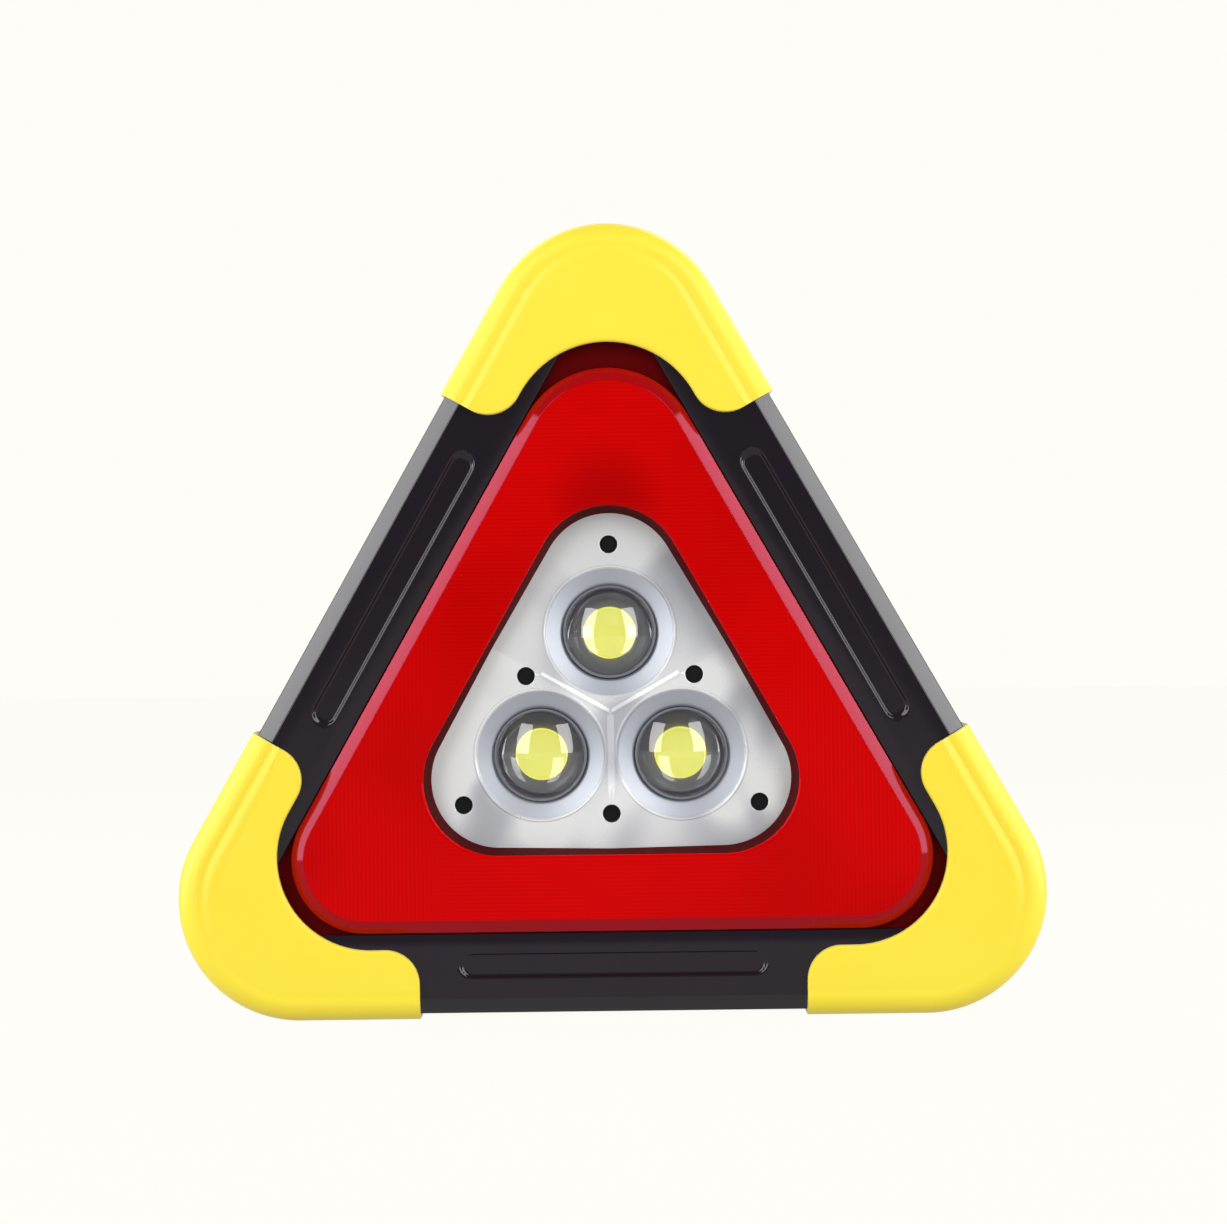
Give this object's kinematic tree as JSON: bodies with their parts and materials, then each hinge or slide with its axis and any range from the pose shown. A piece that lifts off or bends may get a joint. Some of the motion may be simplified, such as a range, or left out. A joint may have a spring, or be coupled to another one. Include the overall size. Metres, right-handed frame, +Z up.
{
  "type": "warning triangle",
  "caption": "Battery warning triangle and work light: black casing with yellow corner guards, red warning lens round a silver plate of lamps, fold-out back stand.",
  "frame": {"origin": "on the surface the lamp stands on, under the middle of its width and thickness", "axes": "+X to the lamp's right seen from the front, +Z up; the front faces -Y"},
  "size_m": [0.267, 0.046, 0.244],
  "materials": {
    "black_abs": "gloss black moulded ABS",
    "yellow_guard": "satin yellow moulded guard",
    "red_lens": "gloss transparent red acrylic",
    "metallised_plate": "satin vacuum-metallised plastic",
    "dark_holder": "dark grey moulded plastic",
    "clear_lens": "clear polished acrylic",
    "led_phosphor": "yellow phosphor",
    "aluminium": "as cast",
    "circuit_board": "green solder mask",
    "red_led": "tinted epoxy",
    "blackened_steel": "black oxide",
    "steel": "nickel plated",
    "cell_wrap": "shrink-wrapped label, plain",
    "switch_plastic": "black moulded",
    "button_rubber": "silicone rubber"
  },
  "bodies": {
    "lamp": {"battery_cell_1": "cell_wrap", "battery_cell_2": "cell_wrap", "battery_cell_3": "cell_wrap", "battery_cell_4": "cell_wrap", "battery_contacts": "steel", "battery_springs": "steel", "corner_guard_left": "yellow_guard", "corner_guard_right": "yellow_guard", "corner_guard_top": "yellow_guard", "driver_board": "circuit_board", "front_frame": "black_abs", "heat_spreader": "aluminium", "housing_screws": "blackened_steel", "lamp_emitter_left": "led_phosphor", "lamp_emitter_right": "led_phosphor", "lamp_emitter_top": "led_phosphor", "lamp_holder_left": "dark_holder", "lamp_holder_right": "dark_holder", "lamp_holder_top": "dark_holder", "lamp_lens_left": "clear_lens", "lamp_lens_right": "clear_lens", "lamp_lens_top": "clear_lens", "plate_screws": "blackened_steel", "rear_housing": "black_abs", "reflector_plate": "metallised_plate", "stand_pins": "steel", "switch_body": "switch_plastic", "warning_board": "circuit_board", "warning_leds": "red_led", "warning_lens": "red_lens"},
    "stand": {"stand": "black_abs"},
    "battery_door": {"battery_door": "black_abs"},
    "switch_button": {"switch_button": "button_rubber", "switch_plunger": "switch_plastic"}
  },
  "joints": [
    {"name": "stand_hinge", "type": "hinge", "parent": "lamp", "child": "stand", "pos_m": [0, 0.0205, 0.15], "axis": [1, 0, 0], "range_deg": [0, 180]},
    {"name": "battery_door_tilt", "type": "hinge", "parent": "lamp", "child": "battery_door", "pos_m": [0, 0.017, 0.0385], "axis": [-1, 0, 0], "range_deg": [0, 60]},
    {"name": "switch_press", "type": "slide", "parent": "lamp", "child": "switch_button", "axis": [0, -1, 0], "range_m": [0, 0.0009], "stiffness_N_per_m": 1200}
  ]
}
